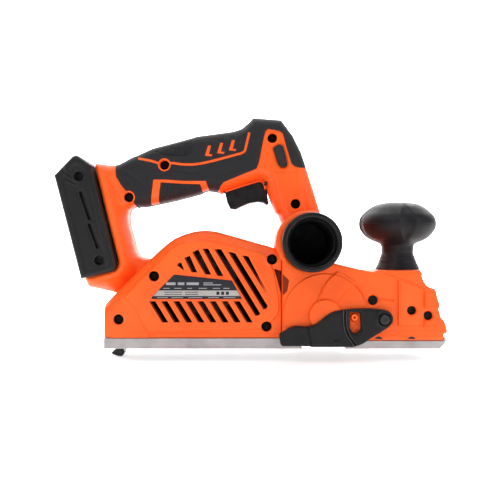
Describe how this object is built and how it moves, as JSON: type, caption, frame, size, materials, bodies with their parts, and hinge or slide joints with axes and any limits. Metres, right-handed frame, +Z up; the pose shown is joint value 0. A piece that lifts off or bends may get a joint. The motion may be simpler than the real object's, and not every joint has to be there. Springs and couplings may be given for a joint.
{
  "type": "electric hand planer",
  "caption": "Cordless electric hand planer: D-handle body with trigger, spinning cutter drum, chip outlet, side guard, and a knob that raises the front shoe.",
  "frame": {"origin": "centre of the rear sole's bottom face", "axes": "+X is the planing direction (front shoe and knob), +Y is the tool's left side (belt cover), +Z is up"},
  "size_m": [0.3348, 0.14, 0.2114],
  "materials": {
    "housing_orange": "moulded",
    "grip_rubber": "textured",
    "black_plastic": "moulded",
    "knob_plastic": "satin",
    "sole_aluminium": "milled",
    "drum_aluminium": "turned",
    "steel": "bright",
    "blade_steel": "ground",
    "spring_steel": "bright",
    "copper": "wound",
    "brass": "bright",
    "board": "solder mask",
    "belt_rubber": "ribbed",
    "label_foil": "satin"
  },
  "bodies": {
    "chassis": {"housing_right": "housing_orange", "housing_left": "housing_orange", "main_frame": "housing_orange", "grip_right": "grip_rubber", "grip_left": "grip_rubber", "battery_shoe_right": "black_plastic", "battery_shoe_left": "black_plastic", "terminal_block": "black_plastic", "belt_cover": "black_plastic", "chip_outlet": "black_plastic", "switch_body": "black_plastic", "rear_sole": "sole_aluminium", "drum_side_plate": "drum_aluminium", "drum_bearing_right": "steel", "drum_bearing_left": "steel", "motor_bearing_right": "steel", "motor_bearing_left": "steel", "stator": "steel", "trigger_pin": "steel", "guard_pivot_screw": "steel", "foot_pin": "steel", "cover_screw_1": "steel", "cover_screw_2": "steel", "cover_screw_3": "steel", "housing_screw_1": "steel", "housing_screw_2": "steel", "housing_screw_3": "steel", "housing_screw_4": "steel", "housing_screw_5": "steel", "housing_screw_6": "steel", "housing_screw_7": "steel", "housing_screw_8": "steel", "depth_spring": "spring_steel", "trigger_spring": "spring_steel", "lock_spring": "spring_steel", "guard_spring": "spring_steel", "foot_spring": "spring_steel", "terminal_1": "brass", "terminal_2": "brass", "terminal_3": "brass", "controller_board": "board", "drive_belt": "belt_rubber", "rating_label": "label_foil"},
    "drum": {"drum": "drum_aluminium", "blade_1": "blade_steel", "blade_2": "blade_steel", "blade_clamp_1": "drum_aluminium", "blade_clamp_2": "drum_aluminium", "drum_pulley": "black_plastic"},
    "rotor": {"rotor": "copper", "cooling_fan": "black_plastic", "motor_pulley": "steel"},
    "depth_knob": {"depth_knob": "knob_plastic", "knob_skirt": "knob_plastic", "depth_screw": "steel"},
    "front_shoe": {"front_shoe": "sole_aluminium"},
    "side_guard": {"side_guard": "black_plastic"},
    "trigger": {"trigger": "black_plastic"},
    "lock_off_button": {"lock_off_button": "black_plastic"},
    "foot": {"foot": "black_plastic"}
  },
  "joints": [
    {"name": "drum_spin", "type": "hinge", "parent": "chassis", "child": "drum", "pos_m": [0.1028, 0, 0.0284], "axis": [0, 1, 0], "continuous": true},
    {"name": "rotor_spin", "type": "hinge", "parent": "chassis", "child": "rotor", "pos_m": [0.001, 0, 0.0545], "axis": [0, 1, 0], "continuous": true},
    {"name": "depth_knob_turn", "type": "hinge", "parent": "chassis", "child": "depth_knob", "pos_m": [0.1715, 0, 0.1], "axis": [0, 0, 1], "range_deg": [0, 300]},
    {"name": "front_shoe_slide", "type": "slide", "parent": "chassis", "child": "front_shoe", "axis": [0, 0, 1], "range_m": [0, 0.002], "deforming": ["depth_spring"]},
    {"name": "guard_swing", "type": "hinge", "parent": "chassis", "child": "side_guard", "pos_m": [0.1519, -0.05, 0.0256], "axis": [0, 1, 0], "range_deg": [0, 18], "stiffness_Nm_per_rad": 0.02, "springref_deg": -20},
    {"name": "trigger_pull", "type": "hinge", "parent": "chassis", "child": "trigger", "pos_m": [0.053, 0, 0.142], "axis": [0, 1, 0], "range_deg": [0, 8], "stiffness_Nm_per_rad": 0.5, "springref_deg": -6, "deforming": ["trigger_spring"]},
    {"name": "lock_off_push", "type": "slide", "parent": "chassis", "child": "lock_off_button", "axis": [0, 1, 0], "range_m": [0, 0.0025], "stiffness_N_per_m": 300, "springref_m": -0.002, "deforming": ["lock_spring"]},
    {"name": "foot_fold", "type": "hinge", "parent": "chassis", "child": "foot", "pos_m": [-0.0795, 0, 0.0042], "axis": [0, 1, 0], "range_deg": [0, 112], "stiffness_Nm_per_rad": 0.02, "springref_deg": -40}
  ],
  "couplings": [
    {"joint": "rotor_spin", "follows": "drum_spin", "ratio": 1.8182},
    {"joint": "front_shoe_slide", "follows": "depth_knob_turn", "m_per_rad": 0.000382}
  ]
}
